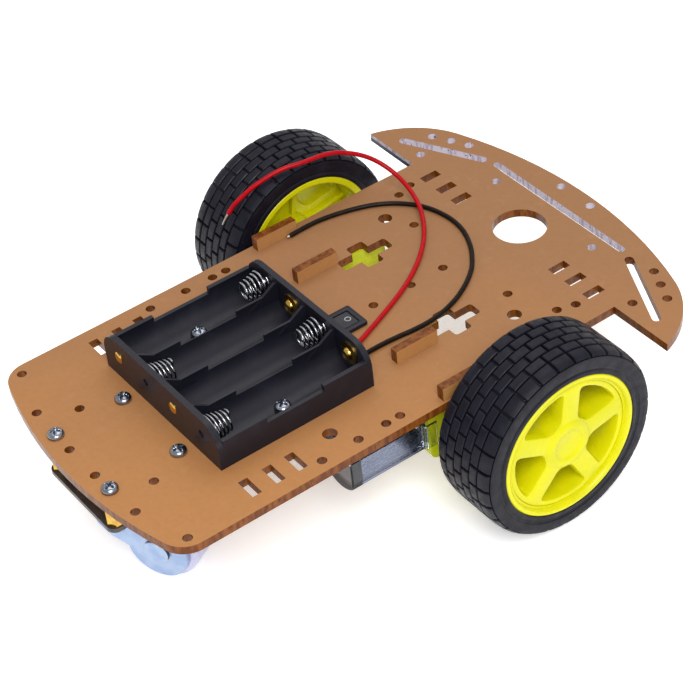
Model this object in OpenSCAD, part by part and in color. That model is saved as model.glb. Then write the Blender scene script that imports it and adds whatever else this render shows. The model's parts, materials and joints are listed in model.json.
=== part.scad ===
// Two-wheel robot car for line following: acrylic deck, two geared motors, swivel caster,
// four-cell battery holder, rocker switch and two loose supply wires.
// Millimetres. +X points to the crescent nose, +Y to the left wheel, +Z up.
// The origin is on the ground, below the middle of the deck.

/* [Deck] */
// Overall length of the deck
deck_length = 204.8; // [200:0.2:210]
// Width of the straight-sided part of the deck
deck_width = 105; // [102:0.5:108]
// Thickness of the acrylic sheet
deck_t = 3; // [2.5:0.5:3.5]
// Radius of the deck's front and rear arcs
deck_arc_r = 165; // [150:1:180]
// Radius of the tip of the crescent nose
tip_r = 34; // [30:1:38]
// Diameter of the small accessory holes
hole_d = 3.2; // [2.6:0.1:3.4]

/* [Drive] */
// Outside diameter of the drive tyres
tyre_d = 66; // [64:0.5:67]
// Width of the drive tyres
tyre_w = 25; // [22:0.5:26]
// Distance from the centreline to the inner face of a tyre
tyre_inset = 55.75; // [55:0.25:58]
// Fore-and-aft position of the wheel axle
axle_x = 27.3; // [26:0.1:29]
// Height of a gearbox
gearbox_h = 22; // [21:0.5:22.5]
// Width of a gearbox across its two shells
gearbox_w = 18.8; // [18.4:0.1:19]
// Distance from the centreline to the middle of a gearbox
gearbox_y = 38.5; // [38.3:0.1:38.7]

/* [Battery holder] */
// Length of the holder along the cells
holder_l = 57.1; // [56:0.1:58]
// Width of the holder across the four cells
holder_w = 64.8; // [64:0.1:66]
// Height of the holder's end walls
holder_h = 15; // [14:0.5:16]
// Fore-and-aft position of the holder's middle
holder_x = -38; // [-40:0.5:-36]
// Sideways position of the holder's middle
holder_y = 0.9; // [-1:0.1:2]

/* [Caster] */
// Fore-and-aft position of the swivel axis
caster_x = -84; // [-86:0.5:-82]
// Diameter of the caster wheel
caster_d = 25; // [24:0.5:26]
// Horizontal distance from the swivel axis to the caster axle
trail = 12.7; // [11:0.1:14]
// Direction in which the caster trails at rest
swivel_angle = -62; // [-90:1:90]

/* [Wires] */
// Diameter of the insulated wires
wire_d = 1.6; // [1.2:0.1:1.8]

/* [Hidden] */
$fn = 48;

eps = 0.01;
play = 0.05;       // radial clearance of every shaft that turns in a bore
gap = 0.1;         // clearance between pieces that only stand beside each other

// Heights, from the ground up
axle_z = tyre_d / 2;
deck_low = axle_z + gearbox_h / 2 + gap;
deck_top = deck_low + deck_t;

// Deck outline
half_l = deck_length / 2;
half_w = deck_width / 2;
corner_r = 9;
arc_step = 2.5;
blend_y = 56;      // where the nose arc tightens into the tip arc
tail_edge_x = 70;  // straight inner edge of the crescent

// Motor brackets: T-shaped tabs that hang through the deck
bracket_x = 10;
bracket_head_w = 16;
bracket_head_h = 4.8;
bracket_stem_w = 10;
bracket_bottom = axle_z - gearbox_h / 2 - 0.5;
bracket_inner_y = 25.3;
bracket_outer_y = 48.7;
bolt_spacing = 16.4;
bolt_r = 1.5;
bolt_hole_r = 1.6;
bolt_head_r = 2.75;
nut_h = 2.4;
nut_af = 5.5;      // across the flats

// Gear train: 8T on the motor, 32T + 10T crown gear, 30T + 9T idler, 36T output = 48 : 1
gear_module = 0.45;
crown_module = 0.3;
pinion_teeth = 8;
crown_teeth = 32;
crown_small_teeth = 10;
idler_big_teeth = 30;
idler_small_teeth = 9;
output_teeth = 36;
idler_x = axle_x - gear_module * (idler_small_teeth + output_teeth) / 2;
crown_x = idler_x - gear_module * (crown_small_teeth + idler_big_teeth) / 2;
crown_r = crown_module * crown_teeth / 2;
pinion_r = crown_module * pinion_teeth / 2;
pin_r = 1;
shaft_r = 2.7;
shaft_flat = 3.7;  // across the two flats of the output shaft
shaft_start = gearbox_y - 18;
shaft_end = gearbox_y + 20;
shell_t = 1.5;
case_back = -1.7;
case_front = 38.3;
case_r = 3;        // outside corner radius of the gearbox

// Motor behind the gearbox
motor_l = 25;
motor_r = 10;
motor_flat = 15;   // across the two flats of the can
can_t = 0.8;
end_cap_l = 3.4;
motor_front = case_back - gap;
motor_back = motor_front - motor_l;

// Drive wheel
rim_r = 24.2;
rim_t = 1.8;
lip_r = 25.3;
hub_r = 6;
star_r = 9.6;      // middle of the spoked web
spokes = 5;
spoke_w = 6.8;
spoke_angle = 10.5;
hub_in = 49.6;
hub_out = 78;
web_low = 75;
web_high = 77.6;

// Battery holder
floor_t = 1.2;
end_t = 2;
bay_r = 7.6;
bay_pitch = 15.6;
bay_ys = [for (i = [1.5, 0.5, -0.5, -1.5]) holder_y + i * bay_pitch];
bay_z = deck_top + floor_t + bay_r;
side_h = 8.5;
side_end_h = 10.5;
holder_front = holder_x - holder_l / 2;
holder_back = holder_x + holder_l / 2;
holder_screw_x = -37.5;

// Rocker switch
switch_x = -0.7;
switch_y = -1.2;
bezel_l = 15;
bezel_w = 11;
bezel_h = 1.6;
switch_l = 13;
switch_w = 8.8;

// Caster
standoff_l = 10;
caster_plate_t = 1.6;
caster_top = deck_low - standoff_l;
caster_low = caster_top - caster_plate_t;
caster_hole_x = 12.25;
caster_hole_y = 15.9;
caster_plate_l = 32;
caster_plate_w = 38;
caster_r = caster_d / 2;
caster_w = 11;
cheek_in = 6;
cheek_t = 1.5;
crown_low = caster_low - 4.4;
ball_r = 1.2;
ball_ring_r = 9;
balls = 12;
kingpin_r = 3;
caster_axle_r = 2;

// Wire routes: the wires leave the back of the holder, lie on the deck, and the red one goes
// on over the left tyre
black_route = [[-9.4, -20, 50], [-7, -19.6, 49.4], [-4, -19, 48.6], [0, -18.4, 48.1],
    [5, -18.4, 48], [10, -18.8, 48], [15, -19.4, 48], [20, -19.6, 48], [25, -19.2, 48],
    [30, -18, 48], [35, -16.2, 48], [40, -13.6, 48], [44.5, -10.6, 48], [48.5, -7.2, 48],
    [52, -3, 48], [55, 1.5, 48], [57.4, 6.5, 48], [59, 11.5, 48], [59.6, 17, 48],
    [59.2, 22, 48], [58, 27, 48], [56, 31.5, 48], [53, 35.6, 48], [49.5, 39, 48],
    [45, 42, 48], [40, 44.2, 48], [35, 45.8, 48], [30, 47, 48], [25, 47.7, 48],
    [20, 47.7, 48], [13, 47.3, 48]];
red_route = [[-9.4, -16, 51], [-7, -15, 50.4], [-4, -13.8, 49.2], [0, -12.2, 48.2],
    [5, -10, 48], [10, -7.9, 48], [15, -5.7, 48], [20, -3.4, 48], [25, -0.9, 48],
    [30, 2, 48], [35, 5.3, 48.1], [40, 9.2, 48.3], [44.5, 13.4, 48.6], [48.5, 18, 49],
    [51.8, 23, 49.5], [54.4, 28, 50.1], [56, 33, 51], [56.6, 38, 52.6], [56, 42.6, 54.8],
    [54.2, 46.6, 57.4], [51.4, 49.8, 60], [48, 52, 62.2], [44, 53.4, 64.2], [40, 54.2, 65.8],
    [35.5, 54.6, 66.9], [31, 54.8, 67.4], [26.4, 55.4, 67.5], [22, 57, 67.2], [18, 58.4, 66.2],
    [14, 59.6, 64.7], [10, 60.8, 62.8], [6, 62, 60.1], [3, 62.8, 57.7], [0.4, 63.2, 54.8],
    [-1.6, 63.6, 51.9]];

// ---- shared helpers ----

// Extrudes a flat shape drawn in X and Z from y0 to y1
module along_y(y0, y1) {
    translate([0, y1, 0]) rotate([90, 0, 0]) linear_extrude(y1 - y0) children();
}

// Round bar or bore along Y
module rod_y(x, z, y0, y1, r) {
    translate([x, y0, z]) rotate([-90, 0, 0]) cylinder(h = y1 - y0, r = r);
}

// Round bar or bore along X
module rod_x(y, z, x0, x1, r) {
    translate([x0, y, z]) rotate([0, 90, 0]) cylinder(h = x1 - x0, r = r);
}

module box(low, high) {
    translate(low) cube(high - low);
}

module mirrored_y() {
    children();
    mirror([0, 1, 0]) children();
}

// Rectangle with rounded corners, from low to high
module soft_rectangle(low, high, r) {
    translate([low[0] + r, low[1]]) square([high[0] - low[0] - 2 * r, high[1] - low[1]]);
    translate([low[0], low[1] + r]) square([high[0] - low[0], high[1] - low[1] - 2 * r]);
    for (x = [low[0] + r, high[0] - r], y = [low[1] + r, high[1] - r])
        translate([x, y]) circle(r, $fn = 32);
}

module hexagon(af) {
    circle(d = af / cos(30), $fn = 6);
}

// Points on an arc about c
function arc(c, r, from, to) =
    let (n = max(2, ceil(abs(to - from) / arc_step)))
    [for (i = [0 : n]) let (a = from + (to - from) * i / n) c + r * [cos(a), sin(a)]];

function flip_y(points) = [for (i = [len(points) - 1 : -1 : 0]) [points[i][0], -points[i][1]]];

// Outline of a spur gear with straight-flanked teeth, tooth 0 centred on angle turn
function gear_outline(teeth, m, turn = 0) =
    let (pitch_r = m * teeth / 2, step = 360 / teeth)
    [for (i = [0 : teeth - 1], k = [[-0.27, -1.15], [-0.11, 0.8], [0.11, 0.8], [0.27, -1.15]])
        let (a = turn + (i + k[0]) * step, r = pitch_r + k[1] * m) [r * cos(a), r * sin(a)]];

// Round tube swept along a route, with flat ends
function unit(v) = v / norm(v);

function tube_ring(route, i, r, sides) =
    let (
        ahead = route[min(i + 1, len(route) - 1)],
        behind = route[max(i - 1, 0)],
        t = unit(ahead - behind),
        side = unit(cross(t, [0, 0, 1])),
        up = cross(side, t)
    )
    [for (k = [0 : sides - 1]) route[i] + r * (cos(360 * k / sides) * side + sin(360 * k / sides) * up)];

module tube(route, r, sides = 8) {
    last = len(route) - 1;
    points = [for (i = [0 : last]) each tube_ring(route, i, r, sides)];
    walls = [for (i = [0 : last - 1], k = [0 : sides - 1])
        let (a = i * sides + k, b = i * sides + (k + 1) % sides) [a, a + sides, b + sides, b]];
    start_cap = [for (k = [0 : sides - 1]) k];
    end_cap = [for (k = [sides - 1 : -1 : 0]) last * sides + k];
    polyhedron(points, concat(walls, [start_cap], [end_cap]));
}

// ---- deck ----

function deck_half_outline() =
    let (
        tail_c = [deck_arc_r - half_l, 0],
        corner_c = [tail_c[0] - sqrt(pow(deck_arc_r - corner_r, 2) - pow(half_w - corner_r, 2)),
                    half_w - corner_r],
        corner_a = 180 - atan2(corner_c[1], tail_c[0] - corner_c[0]),
        nose_c = [half_l - deck_arc_r, 0],
        nose_a = asin(blend_y / deck_arc_r),
        blend = nose_c + deck_arc_r * [cos(nose_a), sin(nose_a)],
        tip_c = blend - tip_r * [cos(nose_a), sin(nose_a)],
        tip_a = acos((tail_edge_x - tip_c[0]) / tip_r)
    )
    concat(
        arc(nose_c, deck_arc_r, 0, nose_a),
        arc(tip_c, tip_r, nose_a + arc_step, tip_a),
        [[tail_edge_x, half_w]],
        arc(corner_c, corner_r, 90, corner_a),
        arc(tail_c, deck_arc_r, corner_a + 1, 180)
    );

// Small holes on both sides of the centreline
side_holes = [[-96.4, 7.5], [-84.3, 21.6], [-95.5, 29], [-89.7, 48.3], [-41.3, 48], [-27.6, 47.8],
    [-17.1, 47.7], [-11.8, 47.7], [49.2, 24.7], [55.6, 41.5], [61.8, 43.4], [84.7, 24.8], [75.4, 55],
    [85, 60.7], [88.2, 54.1], [91.1, 47.7], [99, 7.4]];
centre_holes = [13.7, 28.9, 42.1];
large_holes = [[-32.6, 40], [44.2, 34.2]];
large_hole_d = 4.8;
cross_c = [27.5, 23.2];
cross_arm_l = 19.5;
cross_arm_w = 5.5;
cross_leg_l = 13;
cross_leg_w = 6.5;
round_hole = [74.6, 0];
round_hole_r = 9.2;

module capsule(a, b, w) {
    d = b - a;
    translate(a) rotate(atan2(d[1], d[0])) {
        translate([0, -w / 2]) square([norm(d), w]);
        for (x = [0, norm(d)]) translate([x, 0]) circle(d = w, $fn = 32);
    }
}

module deck_side_cutouts() {
    for (p = side_holes) translate(p) circle(d = hole_d);
    for (p = large_holes) translate(p) circle(d = large_hole_d);
    for (x = [-caster_hole_x, caster_hole_x]) translate([caster_x + x, caster_hole_y]) circle(d = hole_d);
    for (x = [-64.1, -55.5, -47.4]) translate([x, 43]) square([3.3, 8], center = true);
    for (y = [25.5, 33.7, 42.5]) translate([70, y]) square([6.8, 3.3], center = true);
    translate(cross_c) {
        soft_rectangle([-cross_arm_l, -cross_arm_w] / 2, [cross_arm_l, cross_arm_w] / 2, 1);
        soft_rectangle([-cross_leg_w, -cross_leg_l] / 2, [cross_leg_w, cross_leg_l] / 2, 1);
    }
    capsule([89.3, 37.8], [76, 65.6], 3);
    translate([bracket_x, bracket_inner_y + deck_t / 2])
        square([bracket_stem_w + 2 * gap, deck_t + 2 * gap], center = true);
    translate([bracket_x, bracket_outer_y - gap + 5])
        square([bracket_stem_w + 2 * gap, 10], center = true);
}

module chassis_plate() {
    half = deck_half_outline();
    color([0.70, 0.50, 0.35])
    translate([0, 0, deck_low]) linear_extrude(deck_t) difference() {
        polygon(concat(half, flip_y(half)));
        mirrored_y() deck_side_cutouts();
        for (x = centre_holes) translate([x, 0]) circle(d = hole_d);
        for (y = bay_ys) if (abs(y - holder_y) > bay_pitch)
            translate([holder_screw_x, y]) circle(d = hole_d);
        translate(round_hole) circle(round_hole_r, $fn = 96);
        capsule([91, -32], [91, 32], 2.6);
        translate([switch_x, switch_y]) square([switch_l + 2 * gap, switch_w + 2 * gap], center = true);
    }
}

// ---- motor brackets and their bolts ----

module bracket(y) {
    color([0.66, 0.45, 0.30])
    difference() {
        along_y(y, y + deck_t) {
            translate([bracket_x - bracket_head_w / 2, deck_top]) square([bracket_head_w, bracket_head_h]);
            translate([bracket_x - bracket_stem_w / 2, bracket_bottom])
                square([bracket_stem_w, deck_top + eps - bracket_bottom]);
        }
        for (z = [-0.5, 0.5])
            rod_y(bracket_x, axle_z + z * bolt_spacing, y - 1, y + deck_t + 1, bolt_hole_r);
    }
}

module motor_bolt() {
    head_y = bracket_outer_y + deck_t;
    rod_y(0, 0, bracket_inner_y - nut_h - 1, head_y + eps, bolt_r);
    difference() {
        rod_y(0, 0, head_y, head_y + 2, bolt_head_r);
        along_y(head_y + 1.2, head_y + 3) {
            square([3.4, 0.8], center = true);
            square([0.8, 3.4], center = true);
        }
    }
}

module motor_bolts() {
    color("silver")
    mirrored_y() for (z = [-0.5, 0.5]) translate([bracket_x, 0, axle_z + z * bolt_spacing]) motor_bolt();
}

module motor_nuts() {
    color("silver")
    mirrored_y() for (z = [-0.5, 0.5]) translate([bracket_x, 0, axle_z + z * bolt_spacing])
        along_y(bracket_inner_y - nut_h, bracket_inner_y) difference() {
            hexagon(nut_af);
            circle(bolt_r);
        }
}

// ---- gearbox, drawn for the left side ----

module gearbox_outline(inset = 0) {
    soft_rectangle([case_back + inset, axle_z - gearbox_h / 2 + inset],
        [case_front - inset, axle_z + gearbox_h / 2 - inset], max(case_r - inset, 1));
}

// One half of the gearbox, from y0 at its flat side to y1 at the split line
module gearbox_shell(y_low, y_high, wall_y, boss_y) {
    difference() {
        union() {
            difference() {
                along_y(y_low, y_high) gearbox_outline();
                along_y(max(y_low, gearbox_y - gearbox_w / 2 + shell_t) - (y_low == gearbox_y ? 1 : 0),
                        min(y_high, gearbox_y + gearbox_w / 2 - shell_t) + (y_high == gearbox_y ? 1 : 0))
                    gearbox_outline(shell_t);
            }
            for (z = [-0.5, 0.5])
                rod_y(bracket_x, axle_z + z * bolt_spacing, min(y_low, boss_y), max(y_high, boss_y), 2.7);
        }
        for (z = [-0.5, 0.5])
            rod_y(bracket_x, axle_z + z * bolt_spacing, y_low - 2, y_high + 2, bolt_hole_r);
        rod_y(axle_x, axle_z, y_low - 2, y_high + 2, shaft_r + play);
        for (x = [crown_x, idler_x]) rod_y(x, axle_z, wall_y - 1, wall_y + 1, pin_r);
        rod_x(gearbox_y, axle_z, case_back - 1, case_back + shell_t + 1, 3.2);
    }
}

module gearbox_tab(y0, y1) {
    difference() {
        along_y(y0, y1) {
            translate([case_front - eps, axle_z - 4]) square([2, 8]);
            translate([case_front + 1.9, axle_z]) circle(4, $fn = 32);
        }
        rod_y(case_front + 2.2, axle_z, y0 - 1, y1 + 1, 1.5);
        box([case_front - 5, y0 - 1, axle_z - 5], [case_front - eps, y1 + 1, axle_z + 5]);
    }
}

module gearbox_inner_shell() {
    color([0.85, 0.85, 0.08]) {
        gearbox_shell(gearbox_y - gearbox_w / 2, gearbox_y, gearbox_y - gearbox_w / 2 + shell_t,
            bracket_inner_y + deck_t + gap);
        gearbox_tab(gearbox_y - 2.5, gearbox_y);
    }
}

module gearbox_outer_shell() {
    color([0.85, 0.85, 0.08])
    gearbox_shell(gearbox_y, gearbox_y + gearbox_w / 2, gearbox_y + gearbox_w / 2 - shell_t,
        bracket_outer_y - gap);
}

module gear_pins() {
    reach = gearbox_w / 2 - shell_t + 1;
    color("silver")
    for (x = [crown_x, idler_x]) rod_y(x, axle_z, gearbox_y - reach, gearbox_y + reach, pin_r);
}

module gear(x, y0, y1, teeth, turn) {
    translate([x, gearbox_y, axle_z]) along_y(y0, y1) polygon(gear_outline(teeth, gear_module, turn));
}

// Output shaft with two flats at each end, and the last gear on it
module output_gear() {
    flat_start = gearbox_w / 2 + 1;
    color([0.93, 0.93, 0.90]) {
        difference() {
            rod_y(axle_x, axle_z, shaft_start, shaft_end, shaft_r);
            for (s = [-1, 1]) {
                box([axle_x - 4, shaft_start - 1, axle_z + (s > 0 ? shaft_flat / 2 : -4)],
                    [axle_x + 4, gearbox_y - flat_start, axle_z + (s > 0 ? 4 : -shaft_flat / 2)]);
                box([axle_x - 4, gearbox_y + flat_start, axle_z + (s > 0 ? shaft_flat / 2 : -4)],
                    [axle_x + 4, shaft_end + 1, axle_z + (s > 0 ? 4 : -shaft_flat / 2)]);
            }
        }
        difference() {
            gear(axle_x, -0.2, 2.8, output_teeth, 180 / output_teeth);
            rod_y(axle_x, axle_z, gearbox_y - 1, gearbox_y + 4, shaft_r - eps);
        }
    }
}

module idler_gear() {
    color([0.95, 0.95, 0.92])
    difference() {
        union() {
            gear(idler_x, 3.2, 5.8, idler_big_teeth, 0);
            gear(idler_x, -0.6, 3.3, idler_small_teeth, 0);
        }
        rod_y(idler_x, axle_z, gearbox_y - 2, gearbox_y + 7, pin_r + play);
    }
}

// Crown gear: its face teeth mesh with the motor's pinion, its small gear with the idler
module crown_gear() {
    tooth_w = 0.34 * PI * crown_module;
    tip_y = pinion_r - 0.8 * crown_module;
    root_y = pinion_r + 1.15 * crown_module;
    color([0.95, 0.95, 0.92])
    difference() {
        union() {
            translate([crown_x, gearbox_y, axle_z]) {
                rod_y(0, 0, root_y, 2.9, crown_r + 0.6);
                for (i = [0 : crown_teeth - 1]) rotate([0, i * 360 / crown_teeth, 0])
                    box([crown_r - 0.6, tip_y, -tooth_w / 2], [crown_r + 0.5, root_y + 0.1, tooth_w / 2]);
            }
            gear(crown_x, 2.8, 6, crown_small_teeth, 180 / crown_small_teeth);
        }
        rod_y(crown_x, axle_z, gearbox_y, gearbox_y + 7, pin_r + play);
    }
}

// ---- motor, drawn for the left side ----

// Can section: a circle with two flats, drawn in Y and Z
module motor_section(inset) {
    intersection() {
        circle(motor_r - inset, $fn = 64);
        square([2 * motor_r, motor_flat - 2 * inset], center = true);
    }
}

module motor_slice(x0, x1, inset = 0) {
    translate([x0, gearbox_y, axle_z]) rotate([90, 0, 90]) linear_extrude(x1 - x0)
        rotate(90) motor_section(inset);
}

module motor_can() {
    color([0.75, 0.76, 0.78])
    difference() {
        union() {
            motor_slice(motor_back, motor_front);
            rod_x(gearbox_y, axle_z, motor_front - eps, motor_front + 1.5, 3);
        }
        motor_slice(motor_back - 1, motor_front - can_t, can_t);
        rod_x(gearbox_y, axle_z, motor_front - 2, motor_front + 3, pin_r + play);
    }
}

// Armature with three poles, commutator, shaft and pinion
module motor_rotor() {
    pinion_mid = crown_x - crown_r;
    color([0.60, 0.45, 0.30]) {
        rod_x(gearbox_y, axle_z, motor_back - 2.4, pinion_mid + 0.8, pin_r - eps);
        translate([motor_back + 6, gearbox_y, axle_z]) rotate([0, 90, 0]) difference() {
            cylinder(h = 11, r = 6.2);
            translate([0, 0, -1]) cylinder(h = 13, r = pin_r - 2 * eps);
            for (a = [60, 180, 300]) rotate(a) translate([2.6, -1, -1]) cube([5, 2, 13]);
        }
        translate([motor_back + 1.6, gearbox_y, axle_z]) rotate([0, 90, 0]) difference() {
            cylinder(h = 3.4, r = 2.2);
            translate([0, 0, -1]) cylinder(h = 6, r = pin_r - 2 * eps);
        }
        translate([pinion_mid - 0.8, gearbox_y, axle_z]) rotate([90, 0, 90]) linear_extrude(1.6)
            polygon(gear_outline(pinion_teeth, crown_module, 180 / pinion_teeth));
    }
}

module motor_end_cap() {
    color([0.12, 0.12, 0.13]) {
        difference() {
            union() {
                motor_slice(motor_back - end_cap_l, motor_back);
                motor_slice(motor_back - eps, motor_back + 1.2, can_t + gap);
            }
            rod_x(gearbox_y, axle_z, motor_back - 2.6, motor_back + 2, pin_r + play);
        }
    }
}

// Clear strap that goes round the back of the motor and clips to the gearbox
module motor_strap() {
    back = motor_back - end_cap_l - gap;
    arm_y = motor_flat / 2 + gap;
    clip_y = gearbox_w / 2 + gap;
    color([0.85, 0.87, 0.88])
    translate([0, gearbox_y, axle_z - 4.5]) linear_extrude(9) {
        translate([back - 0.9, -arm_y - 0.9]) square([0.9 + eps, 2 * arm_y + 1.8]);
        for (s = [0, 1]) mirror([0, s]) {
            translate([back, arm_y]) square([motor_front - back - 1, 0.9]);
            translate([motor_front - 2, arm_y]) square([1, clip_y - arm_y + 0.7]);
            translate([motor_front - 2, clip_y]) square([4.6, 0.7]);
        }
    }
}

// ---- drive wheel, drawn for the left side ----

module double_d(r, flat) {
    intersection() {
        circle(r);
        square([2 * r + 1, flat], center = true);
    }
}

module spoked_star() {
    circle(star_r);
    for (i = [0 : spokes - 1]) rotate(spoke_angle + i * 360 / spokes)
        translate([0, -spoke_w / 2]) square([rim_r - 1, spoke_w]);
}

module wheel_rim() {
    y_out = tyre_inset + tyre_w;
    color([0.82, 0.83, 0.02])
    translate([axle_x, 0, axle_z]) {
        rotate([-90, 0, 0]) rotate_extrude($fn = 96) {
            translate([rim_r - rim_t, tyre_inset + 0.6]) square([rim_t, tyre_w - 1.2]);
            translate([rim_r - rim_t, tyre_inset]) square([lip_r - rim_r + rim_t, 1.2]);
            translate([rim_r - rim_t, y_out - 1.2]) square([lip_r - rim_r + rim_t, 1.2]);
        }
        difference() {
            union() {
                rod_y(0, 0, hub_in, hub_out, hub_r);
                along_y(web_low, web_high) spoked_star();
            }
            along_y(hub_in - 1, shaft_end) double_d(shaft_r, shaft_flat);
        }
    }
}

module tyre() {
    r = tyre_d / 2;
    shoulder = 3;
    y_out = tyre_inset + tyre_w;
    color([0.06, 0.06, 0.07])
    translate([axle_x, 0, axle_z]) rotate([-90, 0, 0]) rotate_extrude($fn = 128)
        polygon(concat(
            [[lip_r, tyre_inset], [lip_r, tyre_inset + 1.2], [rim_r, tyre_inset + 1.2],
             [rim_r, y_out - 1.2], [lip_r, y_out - 1.2], [lip_r, y_out]],
            arc([r - shoulder - 0.8, y_out - shoulder], shoulder, 90, 20),
            [[r, y_out - 7], [r, tyre_inset + 7]],
            arc([r - shoulder - 0.8, tyre_inset + shoulder], shoulder, -20, -90)
        ));
}

// ---- battery holder ----

module holder_end_profile() {
    r = 7.4;
    translate([-holder_w / 2, 0]) square([holder_w, holder_h - r]);
    translate([-holder_w / 2 + r, 0]) square([holder_w - 2 * r, holder_h]);
    for (s = [-1, 1]) translate([s * (holder_w / 2 - r), holder_h - r]) circle(r, $fn = 48);
}

// Extrudes a flat shape drawn in Y and Z, about the holder's middle, from x0 to x1
module holder_slice(x0, x1) {
    translate([x0, holder_y, deck_top]) rotate([90, 0, 90]) linear_extrude(x1 - x0) children();
}

module holder_trough(height) {
    difference() {
        translate([-holder_w / 2, 0]) square([holder_w, height]);
        for (y = bay_ys) translate([y - holder_y, floor_t + bay_r]) circle(bay_r);
    }
}

// Sloping webs between the cells, against both end walls
module holder_gussets() {
    for (i = [-1, 0, 1])
        along_y(holder_y + i * bay_pitch - 0.5, holder_y + i * bay_pitch + 0.5) {
            polygon([[holder_front + 1, deck_top + 3], [holder_front + 1, deck_top + 13.5],
                     [holder_front + end_t + 1, deck_top + 13.5], [holder_front + 16, deck_top + 5.5],
                     [holder_front + 16, deck_top + 3]]);
            polygon([[holder_back - 1, deck_top + 3], [holder_back - 16, deck_top + 3],
                     [holder_back - 16, deck_top + 5.5], [holder_back - end_t - 1, deck_top + 13.5],
                     [holder_back - 1, deck_top + 13.5]]);
        }
}

module battery_holder() {
    color([0.10, 0.10, 0.11])
    difference() {
        union() {
            holder_slice(holder_front, holder_front + end_t) holder_end_profile();
            holder_slice(holder_back - end_t, holder_back) holder_end_profile();
            holder_slice(holder_front + end_t - eps, holder_front + 18) holder_trough(side_end_h);
            holder_slice(holder_front + 18 - eps, holder_back - 18) holder_trough(side_h);
            holder_slice(holder_back - 18 - eps, holder_back - end_t + eps) holder_trough(side_end_h);
            holder_gussets();
        }
        for (y = [bay_ys[0], bay_ys[3]]) translate([holder_screw_x, y, deck_top - 1])
            cylinder(h = 5, r = bolt_hole_r);
        for (y = bay_ys) rod_x(y, bay_z, holder_front - 1, holder_front + 3, 1.25);
        for (y = bay_ys) rod_x(y, bay_z, holder_back - 3, holder_back + 1, 1.25);
    }
}

// Envelope of a conical contact spring; dir is +1 when it points to +X
module contact_spring(x, y, dir) {
    translate([x, y, bay_z]) rotate([0, 90 * dir, 0]) rotate_extrude($fn = 32)
        polygon([[0, 0], [5.6, 0], [5.6, 1], [3.2, 8.5], [1.6, 8.5], [1.6, 1], [0, 1]]);
}

module battery_springs() {
    front = holder_front + end_t;
    back = holder_back - end_t;
    color([0.8, 0.8, 0.82]) {
        for (i = [1, 3]) {
            contact_spring(front, bay_ys[i], 1);
            rod_x(bay_ys[i], bay_z, holder_front - 0.6, front + 0.8, 1.2);
        }
        for (i = [0, 2]) {
            contact_spring(back, bay_ys[i], -1);
            rod_x(bay_ys[i], bay_z, back - 0.8, holder_back + 0.6, 1.2);
        }
    }
}

// Brass button contacts, each with a rivet through the end wall
module battery_contacts() {
    front = holder_front + end_t;
    back = holder_back - end_t;
    color([0.80, 0.62, 0.20]) {
        for (i = [0, 2]) {
            rod_x(bay_ys[i], bay_z, holder_front - 0.6, front + 1.6, 1.2);
            rod_x(bay_ys[i], bay_z, front, front + 0.4, 4);
            rod_x(bay_ys[i], bay_z, holder_front - 0.6, holder_front, 2);
        }
        for (i = [1, 3]) {
            rod_x(bay_ys[i], bay_z, back - 1.6, holder_back + 0.6, 1.2);
            rod_x(bay_ys[i], bay_z, back - 0.4, back, 4);
            rod_x(bay_ys[i], bay_z, holder_back, holder_back + 0.6, 2);
        }
    }
}

// ---- screws ----

// Cross-recessed pan-head screw, head up, with the underside of the head at z = 0
module pan_screw(length) {
    translate([0, 0, -length]) cylinder(h = length + eps, r = bolt_r);
    difference() {
        rotate_extrude() polygon([[0, 0], [bolt_head_r, 0], [bolt_head_r, 0.9], [2.1, 1.7], [1, 2], [0, 2]]);
        translate([-1.6, -0.35, 1]) cube([3.2, 0.7, 2]);
        translate([-0.35, -1.6, 1]) cube([0.7, 3.2, 2]);
    }
}

module hex_nut(height) {
    linear_extrude(height) difference() {
        hexagon(nut_af);
        circle(bolt_r);
    }
}

module holder_screws() {
    color("silver")
    for (y = [bay_ys[0], bay_ys[3]])
        translate([holder_screw_x, y, deck_top + floor_t + 0.6]) pan_screw(8.6);
}

module holder_nuts() {
    color("silver")
    for (y = [bay_ys[0], bay_ys[3]]) translate([holder_screw_x, y, deck_low - nut_h]) hex_nut(nut_h);
}

// ---- switch ----

module switch_body() {
    color([0.09, 0.09, 0.10])
    difference() {
        union() {
            box([switch_x - bezel_l / 2, switch_y - bezel_w / 2, deck_top],
                [switch_x + bezel_l / 2, switch_y + bezel_w / 2, deck_top + bezel_h]);
            box([switch_x - switch_l / 2, switch_y - switch_w / 2, deck_low - 6],
                [switch_x + switch_l / 2, switch_y + switch_w / 2, deck_top + eps]);
        }
        box([switch_x - 5.6, switch_y - 3.4, deck_top - 4], [switch_x + 5.6, switch_y + 3.4, deck_top + 3]);
        rod_y(switch_x, deck_top - 0.6, switch_y - 4.2, switch_y + 4.2, 0.8 + play);
    }
}

// Rocker on its two pivot stubs, tilted to the off side
module switch_rocker() {
    color([0.09, 0.09, 0.10])
    translate([switch_x, switch_y, deck_top - 0.6]) rotate([0, 9, 0]) {
        along_y(-3.2, 3.2)
            polygon([[-5.2, 1.2], [-5, 2.6], [0, 1.9], [5, 2.6], [5.2, 1.2], [2, -1.6], [-2, -1.6]]);
        rod_y(0, 0, -4.1, 4.1, 0.8);
    }
}

module switch_terminals() {
    color([0.78, 0.78, 0.74])
    for (x = [-4, 2]) translate([switch_x + x, switch_y - 1.6, deck_low - 12]) cube([0.6, 3.2, 6]);
}

// ---- caster ----

module at_caster_holes() {
    for (x = [-caster_hole_x, caster_hole_x], y = [-caster_hole_y, caster_hole_y])
        translate([caster_x + x, y, 0]) children();
}

module caster_standoffs() {
    color([0.80, 0.62, 0.20])
    at_caster_holes() translate([0, 0, caster_top]) linear_extrude(standoff_l) difference() {
        hexagon(nut_af);
        circle(bolt_r);
    }
}

module caster_top_screws() {
    color("silver")
    at_caster_holes() translate([0, 0, deck_top]) pan_screw(deck_t + 4);
}

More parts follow.
